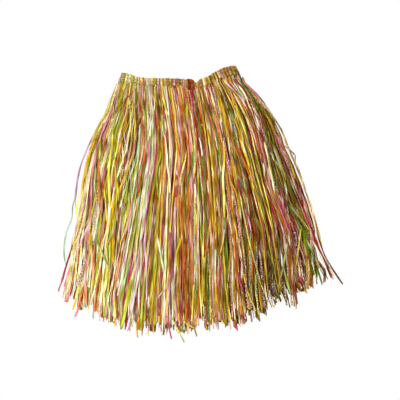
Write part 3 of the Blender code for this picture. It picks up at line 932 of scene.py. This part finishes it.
# The ones on top that stand out: each one's film and width, and then its points as X and Y.
PICKED = (
    ("pink", 3.4, -93, 221, -106, 211, -108, 196, -110, 164, -111, 140),
    ("magenta", 3.0, -120, 204, -125, 193, -133, 184, -140, 162),
    ("olive", 2.4, -123, 209, -115, 200, -114, 184, -123, 162),
    ("crimson", 3.8, 62, 243, 67, 233, 71, 222, 76, 206),
    ("salmon", 4.0, 50, 234, 54, 243, 62, 244, 66, 234), ("green", 3.0, 65, 243, 70, 233, 74, 221, 80, 207),
    ("pearl", 3.6, 60, 220, 78, 198, 89, 171, 100, 140), ("lilac", 3.4, 37, 230, 48, 214, 73, 187, 86, 162),
    ("magenta", 3.2, 73, 193, 86, 171, 96, 146, 104, 119),
    ("pearl", 3.4, -67, 126, -62, 115, -59, 79, -57, 58, -54, 32, -54, 4),
    ("lime", 3.6, -73, 104, -70, 84, -76, 61, -76, 31, -73, -8),
    ("mint", 3.4, -109, 128, -112, 65, -118, 27, -123, -8),
    ("salmon", 3.4, -100, 119, -99, 77, -106, 49, -109, 21, -116, -2),
    ("pink", 3.8, -88, 130, -91, 101, -94, 61, -100, 26), ("rust", 5.6, -40, 65, -44, 27, -45, -8),
    ("straw", 3.4, -23, 103, -26, 77, -34, 45, -37, 14),
    ("green", 3.2, -13, 119, -14, 70, -22, 38, -22, -2), ("lilac", 3.4, -5, 128, 2, 101, 6, 65),
    ("pearl", 3.4, -11, 49, -8, 21, -7, -2), ("mint", 3.0, -188, -61, -172, -97, -158, -126),
    ("salmon", 2.6, -152, -50, -161, -68, -172, -86), ("mint", 3.8, -80, -41, -69, -97, -62, -144),
    ("lilac", 3.8, -62, -140, -61, -152, -73, -167, -80, -177),
    ("straw", 3.2, -28, -41, -35, -68, -42, -95, -35, -158), ("straw", 3.2, 51, 4, 62, -38, 73, -93),
    ("magenta", 3.4, 76, 0, 81, -18, 94, -68), ("pink", 3.4, 129, -17, 134, -36, 139, -54),
    ("crimson", 4.6, 179, 4, 199, -45, 217, -90), ("gold", 3.2, 198, 4, 211, -50, 223, -92),
    ("straw", 2.6, 182, -36, 180, -50, 172, -112, 169, -121),
    ("magenta", 5.0, 65, -112, 73, -144, 82, -176), ("gold", 6.0, 193, -95, 194, -122, 193, -155),
    ("crimson", 3.4, -244, -126, -248, -140, -255, -160), ("pink", 4.0, -209, -170, -217, -187, -224, -205),
    ("lime", 7.0, -118, -115, -129, -169, -140, -223),
    ("lilac", 4.4, -108, -104, -112, -144, -120, -178, -131, -229), ("gold", 4.0, -115, -205, -112, -241),
    ("straw", 4.0, -156, 133, -157, 103, -162, 67, -163, 36, -159, -23),
    ("rust", 5.0, -165, 126, -169, 99, -176, 76),
    ("gold", 4.0, -182, 128, -194, 98, -201, 68, -209, 40, -216, 8),
    ("olive", 3.4, -168, 150, -178, 128, -187, 104, -194, 80), ("pink", 4.6, -167, 76, -172, 47, -175, 22),
    ("crimson", 3.6, -173, 54, -175, 27, -174, 4), ("pink", 4.2, -174, 18, -176, -7, -176, -36),
    ("gold", 4.6, -186, 115, -198, 86, -204, 58, -211, 32), ("straw", 3.6, -215, 25, -221, -14, -222, -40),
    ("lime", 3.6, -177, 122, -180, 88, -179, 65), ("orange", 4.4, -182, 83, -180, 26, -180, -18),
    ("mint", 3.2, -187, 76, -188, 36, -190, 11), ("pearl", 3.0, -140, 112, -137, 83, -138, 65),
    ("straw", 3.4, -152, 58, -147, 26, -145, -4), ("gold", 4.4, -153, 22, -155, -14, -156, -43),
    ("lime", 4.4, -127, 40, -134, 0, -140, -29), ("pink", 3.6, -113, 133, -117, 99, -121, 68),
    ("straw", 3.2, -71, 202, -62, 171, -54, 148), ("pink", 3.8, -61, 203, -55, 180, -50, 151),
    ("mint", 3.6, -68, 173, -67, 133, -62, 108), ("lilac", 3.6, -44, 169, -37, 131, -33, 101),
    ("lime", 3.4, -22, 202, -23, 162, -21, 126), ("crimson", 5.0, -8, 198, -8, 162, -1, 133),
    ("gold", 3.2, -1, 198, 9, 162, 18, 108), ("salmon", 3.6, 12, 180, 24, 131, 28, 101),
    ("pearl", 3.4, 14, 216, 21, 191, 30, 151), ("straw", 3.4, 30, 198, 35, 169, 41, 119),
    ("gold", 4.0, 32, 194, 37, 169, 39, 148), ("lilac", 3.8, 40, 202, 45, 184),
    ("lime", 4.4, 44, 187, 56, 162, 66, 133), ("rust", 3.6, 33, 211, 41, 184, 48, 155),
    ("straw", 3.2, 50, 169, 66, 137, 76, 112), ("straw", 4.4, 41, 130, 43, 85, 41, 38, 43, -7, 44, -47),
    ("gold", 3.8, 53, 76, 53, 43, 63, 20, 69, -7), ("lilac", 4.0, 48, 103, 58, 77, 65, 52),
    ("magenta", 4.6, 64, 58, 70, 27, 76, -4), ("straw", 5.0, 66, 130, 75, 104, 84, 77, 91, 54),
    ("salmon", 4.4, 60, 113, 75, 81, 84, 58, 94, 34), ("gold", 3.4, 93, 40, 101, 14, 111, -13),
    ("pearl", 3.0, 91, 94, 97, 68), ("lime", 3.6, 95, 94, 104, 63, 112, 36),
    ("pearl", 4.2, 112, 119, 120, 86, 126, 58, 130, 36, 136, 4), ("green", 4.0, 125, 115, 136, 95, 147, 76),
    ("magenta", 4.4, 108, 90, 114, 61, 116, 36), ("magenta", 4.6, 124, 9, 134, -31, 139, -58),
    ("lilac", 3.6, 78, -5, 88, -36, 93, -58), ("rust", 5.4, 89, -13, 96, -43, 102, -76),
    ("mauve", 5.0, 137, 47, 146, 14, 151, -36), ("pearl", 3.2, 160, 49, 171, 20),
    ("gold", 6.0, -198, -43, -196, -76, -195, -108), ("pink", 4.0, -205, -54, -204, -94, -205, -108),
    ("orange", 4.4, -205, -126, -205, -182), ("salmon", 4.6, -188, -68, -191, -113, -190, -151),
    ("gold", 6.6, -155, -47, -155, -94, -154, -119), ("brown", 5.0, -166, -81, -164, -130),
    ("mint", 4.4, -145, -86, -145, -135), ("lime", 4.4, -172, -135, -171, -205),
    ("gold", 4.4, -114, -90, -123, -139), ("rust", 6.6, -98, -43, -100, -94),
    ("orange", 4.0, -109, -184, -111, -229), ("pink", 4.0, -126, -198, -129, -229),
    ("mauve", 7.0, -53, -25, -53, -74, -52, -115, -52, -153), ("pink", 4.0, -20, -49, -23, -101),
    ("crimson", 4.6, -22, -97, -23, -148), ("lilac", 4.0, -4, -25, -4, -86, -1, -131),
    ("salmon", 3.6, 18, -25, 13, -74, 12, -108), ("gold", 5.4, 10, -76, 7, -115, 7, -160, 12, -191),
    ("straw", 2.8, -12, -117, -12, -169, -15, -212), ("rust", 6.4, 30, -158, 29, -205),
    ("pink", 4.6, 30, -202, 31, -227), ("mint", 3.4, 28, -61, 27, -108, 27, -160),
    ("straw", 3.2, 45, -25, 40, -74, 33, -101), ("gold", 3.4, 60, -32, 71, -81, 78, -119),
    ("crimson", 4.6, 104, -68, 110, -117, 112, -153),
    ("straw", 3.0, 114, -65, 116, -104, 120, -140, 123, -173), ("green", 4.6, 112, -148, 116, -184),
    ("pearl", 3.0, 138, -86, 141, -130), ("mint", 6.0, 149, -112, 160, -157),
    ("orange", 3.4, 156, -59, 161, -86, 170, -101), ("gold", 4.2, 100, 191, 118, 160, 132, 130, 141, 106),
    ("olive", 5.0, 107, 184, 127, 151, 140, 124, 147, 108), ("brown", 5.0, 102, 175, 114, 148, 123, 121),
    ("olive", 6.0, 128, 112, 136, 88, 150, 50, 156, 22), ("olive", 4.4, 146, 76, 156, 43, 165, 9, 172, -20),
    ("crimson", 4.2, 158, 78, 170, 43, 180, 9, 188, -20), ("gold", 3.2, 150, 100, 162, 70, 173, 36, 182, 4),
    ("rust", 5.0, 140, 40, 150, 9, 158, -25), ("rust", 4.2, 199, -50, 223, -104, 237, -136),
    ("rust", 3.6, 207, -50, 225, -97, 250, -137, 257, -147),
    ("crimson", 3.6, 199, -56, 214, -86, 229, -112, 240, -132),
    ("pearl", 1.8, 195, -54, 218, -102, 226, -120),
    ("green", 3.6, 188, -59, 199, -85, 216, -137, 219, -147),
    ("green", 2.4, 197, -81, 210, -108, 225, -138), ("mint", 1.8, 196, -90, 201, -107, 208, -137),
    ("gold", 4.4, 190, -84, 192, -110, 192, -150), ("orange", 3.6, 193, -90, 195, -110, 199, -152),
    ("rust", 3.6, 190, -96, 197, -124, 203, -154), ("salmon", 2.4, 218, -90, 227, -111, 240, -139),
    ("brown", 2.0, 212, -100, 222, -122, 230, -138), ("lilac", 3.2, -178, -160, -180, -191, -180, -212),
    ("lime", 2.8, -56, -196, -44, -220, -28, -250), ("magenta", 3.4, -62, -186, -57, -215, -51, -244),
    ("gold", 2.8, -38, -196, -27, -214, -10, -225), ("olive", 3.0, -16, -200, -10, -225, -6, -239),
    ("crimson", 3.0, 168, -146, 171, -171, 172, -191), ("brown", 3.0, 150, -146, 157, -171, 161, -188),
    ("gold", 4.4, 155, -136, 162, -164, 165, -184), ("rust", 4.8, 163, -132, 170, -160, 174, -183),
    ("olive", 4.4, 149, -136, 153, -160, 155, -184), ("orange", 4.0, 158, -130, 166, -158, 169, -186),
    ("pink", 4.2, -222, -130, -233, -158, -241, -178), ("mint", 4.0, -217, -132, -227, -162, -234, -184),
    ("gold", 4.4, -212, -136, -220, -166, -227, -192), ("salmon", 4.6, -205, -140, -213, -168, -220, -196),
)
PICKED_WIDTH = 0.84  # against the widths as they were read
KEPT_PLAIN = 0.65  # the share of the ones on top that keep to their own film's colour
ON_TOP = 1.03
TUCKED = 0.7
POINT_LENGTH = 26.0
POINT_WIDTH = 0.12
FREE_END = 20.0  # an end that is nearer to the hem than this is not tucked in
ROUTE_STATIONS = 64
LOW_ARCHES = (0.15, 0.6)  # how far they stand up
CALMER = 0.5  # how much of the waves that make them waver and roll is used


def smooth_route(points):
    """A smooth curve through hand-set points, at evenly spaced stations."""
    points = np.array(points, float)
    steps = np.linalg.norm(np.diff(points[:, :2], axis=0), axis=1)
    at = np.concatenate([[0.0], np.cumsum(steps)])
    stations = np.linspace(0.0, at[-1], ROUTE_STATIONS)
    return np.stack([through(at, column, stations) for column in points.T], axis=1)


def tucked(points):
    """A ribbon's points with their heights: on top of the layers, and under other ribbons at its ends."""
    heights = [TUCKED] + [ON_TOP] * (len(points) - 1)
    x, y = points[-1]
    if y - float(read(HEM, "y", share_at(x, y))) > FREE_END:
        heights[-1] = TUCKED
    return np.column_stack([points, heights])


def pointed(distance, heights):
    """The share of its width that each ribbon has: it is narrow where it comes from under others."""
    left_over = distance[:, -1:] - distance
    start = ease(distance / POINT_LENGTH)
    end = np.where(heights[:, -1:] < ON_TOP, ease(left_over / POINT_LENGTH), 1.0)
    return POINT_WIDTH + (1.0 - POINT_WIDTH) * start * end


def lay_ribbons(rng, name, films, widths, routes, material, plain=KEPT_PLAIN, loose=False):
    """Ribbons along routes, of which the share plain keeps to its own film's colour."""
    routes = np.array([smooth_route(points) for points in routes])
    x, y = routes[..., 0], routes[..., 1]
    z = routes[..., 2] * stack_top(x, y)
    distance = run_length(x, y)
    x, y = moved_aside(x, y, CALMER * ripple(rng, WAVER, distance))
    half = np.array(widths)[:, None] / 2 * (1 + ripple(rng, WIDEN, distance))
    half = half * pointed(distance, routes[..., 2])
    roll = CALMER * ripple(rng, ROLL, distance)
    z = np.maximum(z, SMALLEST_HEIGHT + np.abs(np.sin(roll)) * half)
    arch = rng.uniform(*LOW_ARCHES, (len(x), 1)) + np.zeros_like(x)
    points = sweep(rng, x, y, z, half, roll, arch, distance)
    at_side = share_at(x[:, 0], y[:, 0])
    own = np.array([FILM_NUMBER[film] for film in films])
    others = pick_films(rng, at_side, 0.0)
    others = np.where(rng.uniform(size=len(own)) < plain, own, others)
    colours = film_colours(rng, own, others, at_side, distance, painted_light_and_shade(x, y), loose=loose)
    obj = strip_object(name, points, colours, material)
    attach(obj, "root")
    return obj


def build_loose(material):
    """The single ribbons that leave the outline."""
    films, widths = zip(*(row[:2] for row in LOOSE))
    routes = [np.reshape(row[2:], (-1, 3)) for row in LOOSE]
    rng = np.random.default_rng(51)
    return lay_ribbons(rng, "outline_ribbons", films, widths, routes, material, plain=1.0, loose=True)


def build_picked(material):
    """The ribbons on top that stand out."""
    films, widths = zip(*(row[:2] for row in PICKED))
    widths = PICKED_WIDTH * np.array(widths)
    routes = [tucked(np.reshape(row[2:], (-1, 2))) for row in PICKED]
    return lay_ribbons(np.random.default_rng(71), "bright_ribbons", films, widths, routes, material)


# ---- materials

# The tints of the film's painted sheen, by the noise that picks them.
SHEEN_STOPS = (
    (0.36, (0.80, 0.26, 0.34)),
    (0.46, (0.90, 0.66, 0.08)),
    (0.56, (0.36, 0.62, 0.22)),
    (0.66, (0.94, 0.88, 0.82)),
)
# The tints of the film's dark and light streaks, partly its own tone and partly painted shade and
# highlight: the dark ones take the amber of painted shade.
DARK_STREAK_SHADE = (0.55, 0.47, 0.15, 1.0)
LIGHT_STREAK_HIGHLIGHT = (1.36, 1.35, 1.30, 1.0)
# The colour of the painted highlights on the lightest streaks.
LUSTRE_COLOUR = (0.92, 0.82, 0.56, 1.0)
# The colour of the painted sparkle highlights.
SPARKLE_COLOUR = (0.92, 0.90, 0.86, 1.0)
MOST_SHEEN = 0.16
MOST_LUSTRE = 0.36
MOST_SPARKLE = 0.6
GLITTERING = 0.10  # the share of the strips with painted sparkle highlights all over, as crinkled film has
LIGHT_THROUGH = 0.24  # the share of the light that the film lets through


def new_material(name):
    """A material with nothing in it but its output, and its node tree."""
    material = bpy.data.materials.new(name)
    material.use_nodes = True
    material.node_tree.nodes.clear()
    return material, material.node_tree


def node(tree, kind, inputs, **settings):
    """A new shader node's outputs. Its inputs are linked to other outputs or set to values."""
    made = tree.nodes.new("ShaderNode" + kind)
    for name, value in settings.items():
        setattr(made, name, value)
    for name, value in inputs.items():
        if isinstance(value, bpy.types.NodeSocket):
            tree.links.new(value, made.inputs[name])
        else:
            made.inputs[name].default_value = value
    return made.outputs


def spread(tree, value, low, high, least=0.0, most=1.0):
    """The value's range from low to high, spread over the range from least to most."""
    limits = {"From Min": low, "From Max": high, "To Min": least, "To Max": most}
    return node(tree, "MapRange", {"Value": value, **limits})["Result"]


def blend(tree, factor, first, second, kind="MIX"):
    """Two colours mixed by the factor."""
    inputs = {"Factor": factor, "A": first, "B": second}
    return node(tree, "Mix", inputs, data_type="RGBA", blend_type=kind)["Result"]


def calculated(tree, operation, *values):
    """What a Math node makes of the values."""
    return node(tree, "Math", dict(enumerate(values)), operation=operation)["Value"]


def sheen_tint(tree, value):
    """The sheen's tint for a noise value."""
    made = tree.nodes.new("ShaderNodeValToRGB")
    stops = made.color_ramp.elements
    while len(stops) < len(SHEEN_STOPS):
        stops.new(0.5)
    for stop, (position, tint) in zip(stops, SHEEN_STOPS):
        stop.position = position
        stop.color = (*tint, 1.0)
    tree.links.new(value, made.inputs["Fac"])
    return made.outputs["Color"]


def film_material(name):
    """Thin glossy plastic film: each strip's own colour, fine streaks along it and crinkles across it, with
    painted sheen, highlights and sparkles.
    """
    material, tree = new_material(name)
    colour = node(tree, "Attribute", {}, attribute_name="film_colour")["Color"]
    spot = node(tree, "Attribute", {}, attribute_name="film_spot")["Vector"]

    def pattern(length, width, start):
        """Noise with features of this length and width on the film, in millimetres."""
        place_and_scale = {"Location": (start, start, start), "Scale": (1.0 / length, 1.0 / width, 1.0)}
        moved = node(tree, "Mapping", {"Vector": spot, **place_and_scale})["Vector"]
        return node(tree, "TexNoise", {"Vector": moved, "Scale": 1.0})["Fac"]

    streaks = pattern(28.0, 0.9, 0.0)
    sheen = pattern(34.0, 1.3, 5.0)
    pearl = pattern(9.0, 1.6, 9.0)
    crumple = pattern(2.6, 1.8, 13.0)
    glitter = pattern(2.4, 1.6, 17.0)

    # Streaks of tone along the film, partly its own and partly painted shade and highlight.
    level = spread(tree, streaks, 0.3, 0.7)
    tone = blend(tree, level, DARK_STREAK_SHADE, LIGHT_STREAK_HIGHLIGHT)
    toned = blend(tree, 1.0, colour, tone, "MULTIPLY")
    # Painted highlights: the lightest streaks lean towards a pale lustre.
    lustre = spread(tree, streaks, 0.61, 0.7, most=MOST_LUSTRE)
    lit = blend(tree, lustre, toned, LUSTRE_COLOUR)

    # Painted sheen, on the lighter streaks only.
    shine = spread(tree, pearl, 0.45, 0.75, most=MOST_SHEEN)
    shine = calculated(tree, "MULTIPLY", shine, level)
    pale = blend(tree, shine, lit, sheen_tint(tree, sheen))

    # Painted sparkles: white highlights on a few chosen strips, as on crinkled film.
    number = node(tree, "SeparateXYZ", {"Vector": spot})["Z"]
    whole = calculated(tree, "ROUND", number)
    lot = node(tree, "TexWhiteNoise", {"W": whole}, noise_dimensions="1D")["Value"]
    chosen = calculated(tree, "LESS_THAN", lot, GLITTERING)
    sparkles = spread(tree, glitter, 0.52, 0.6, most=MOST_SPARKLE)
    sparkles = calculated(tree, "MULTIPLY", chosen, sparkles)
    sparkled = blend(tree, sparkles, pale, SPARKLE_COLOUR)

    rough = spread(tree, crumple, 0.0, 1.0, 0.16, 0.42)
    height = calculated(tree, "MULTIPLY_ADD", crumple, 0.7, streaks)
    normal = node(tree, "Bump", {"Strength": 0.55, "Distance": 0.0008, "Height": height})["Normal"]
    surface = {"Base Color": sparkled, "Roughness": rough, "Normal": normal, "Specular IOR Level": 0.04}
    film = node(tree, "BsdfPrincipled", surface)["BSDF"]
    through_it = node(tree, "BsdfTranslucent", {"Color": sparkled, "Normal": normal})["BSDF"]
    mix = node(tree, "MixShader", {"Fac": LIGHT_THROUGH, 1: film, 2: through_it})["Shader"]
    node(tree, "OutputMaterial", {"Surface": mix})
    return material


def thread_material():
    """Matt sewing thread with a fine twist."""
    material, tree = new_material("thread")
    uv = node(tree, "UVMap", {}, uv_map="OFBake")["UV"]
    twist = node(tree, "TexNoise", {"Vector": uv, "Scale": 90.0})["Fac"]
    colour = blend(tree, twist, (0.30, 0.18, 0.04, 1.0), (0.52, 0.36, 0.10, 1.0))
    normal = node(tree, "Bump", {"Strength": 0.4, "Distance": 0.0001, "Height": twist})["Normal"]
    surface = {"Base Color": colour, "Normal": normal, "Roughness": 0.6}
    thread = node(tree, "BsdfPrincipled", surface)["BSDF"]
    node(tree, "OutputMaterial", {"Surface": thread})
    return material


# ---- stage, light and camera

PIXEL = 1.8  # millimetres for one pixel of the 400 pixel picture
PICTURE = 400
LENS = 100.0
SENSOR = 36.0
VIEW_MIDDLE = (0.0, 4.5)  # the picture's middle on the skirt, in its own millimetres
FLOOR_REACH = 3.0  # metres from the middle to each side


def floor_material():
    """Paper that the camera sees as pure white, and that lights the film like plain paper."""
    material, tree = new_material("paper")
    grain = node(tree, "TexNoise", {"Scale": 60.0})["Fac"]
    paper = node(tree, "BsdfDiffuse", {"Color": spread(tree, grain, 0.0, 1.0, 0.78, 0.84)})["BSDF"]
    white = node(tree, "Emission", {})["Emission"]
    seen = node(tree, "LightPath", {})["Is Camera Ray"]
    either = node(tree, "MixShader", {"Fac": seen, 1: paper, 2: white})["Shader"]
    node(tree, "OutputMaterial", {"Surface": either})
    return material


def build_floor():
    """A square of paper under the skirt."""
    mesh = bpy.data.meshes.new("floor")
    corners = [(FLOOR_REACH * x, FLOOR_REACH * y, 0) for x, y in ((-1, -1), (1, -1), (1, 1), (-1, 1))]
    mesh.from_pydata(corners, [], [(0, 1, 2, 3)])
    mesh.materials.append(floor_material())
    floor = add_object("floor", mesh)


def area_light(name, stand, target, size, power):
    """A round lamp that stands in one place and shines towards another."""
    data = bpy.data.lights.new(name, "AREA")
    data.shape = "DISK"
    data.size = size
    data.energy = power
    lamp = add_object(name, data)
    lamp.location = stand
    lamp.rotation_euler = (Vector(target) - Vector(stand)).to_track_quat("-Z", "Y").to_euler()


def build_lights():
    """The key light at the left, a weak fill in front, a small lamp for glints, and a warm world."""
    area_light("key", (-0.80, -0.22, 0.95), (-0.12, -0.04, 0), 0.4, 25.1)
    area_light("fill", (0.6, -1.2, 1.8), (0, 0, 0), 1.4, 2.0)
    area_light("glints", (0.85, 0.35, 0.9), (0.15, 0, 0), 0.12, 11.0)
    world = bpy.data.worlds.new("studio")
    world.use_nodes = True
    background = world.node_tree.nodes["Background"]
    background.inputs["Color"].default_value = (1.0, 0.94, 0.56, 1.0)
    background.inputs["Strength"].default_value = 0.27
    bpy.context.scene.world = world


def build_camera():
    """The camera straight above, at the height from which the lens sees the photograph's width."""
    data = bpy.data.cameras.new("camera")
    data.lens = LENS
    data.sensor_width = SENSOR
    data.clip_end = 20.0
    camera = add_object("camera", data)
    middle = (np.array([*VIEW_MIDDLE, 0.0]) - SHIFT) * MM
    camera.location = (middle[0], middle[1], PIXEL * PICTURE * MM * LENS / SENSOR)
    bpy.context.scene.camera = camera
    bpy.context.scene.view_settings.view_transform = "Standard"


def frame_shift():
    """The middle of the skirt's box, which part.py moved to the origin: from the closing strip's corner."""
    up = np.arange(CLOSING_ROWS + 1) / CLOSING_ROWS
    corners = []
    for side in (-1, 1):
        share = CLOSING_SHARE + side * closing_half(up)
        corners.append(casing_point(share, read(WAIST, "height", share) * up, 0.0, 1.0, 0.0))
    low = np.concatenate(corners).min(axis=0)
    packed = np.array(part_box("closing_strip")[0]) / MM
    return np.array([low[0] - packed[0], low[1] - packed[1], 0.0])


# ---- the scene

RING_STRIPS = 2 * (GATHERS * STRIPS_A_GATHER + TURN_STRIPS)
ROOTS = {}  # of each layer's ribbons: where they are across the skirt, and their films

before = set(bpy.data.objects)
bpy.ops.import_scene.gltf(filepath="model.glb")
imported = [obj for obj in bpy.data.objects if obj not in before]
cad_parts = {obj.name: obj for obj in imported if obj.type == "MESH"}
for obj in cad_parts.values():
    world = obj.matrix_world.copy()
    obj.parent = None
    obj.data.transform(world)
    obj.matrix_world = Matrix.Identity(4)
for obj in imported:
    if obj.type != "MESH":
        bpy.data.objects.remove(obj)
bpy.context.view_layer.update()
SHIFT = frame_shift()

film = film_material("skirt film")
fringes = [build_ribbons(layer, index, film) for index, layer in enumerate(LAYERS)]
casing = build_casing(film)
closing = build_closing(film)
stitches = build_stitches()
build_loose(film)
build_picked(film)

build_floor()
build_lights()
build_camera()
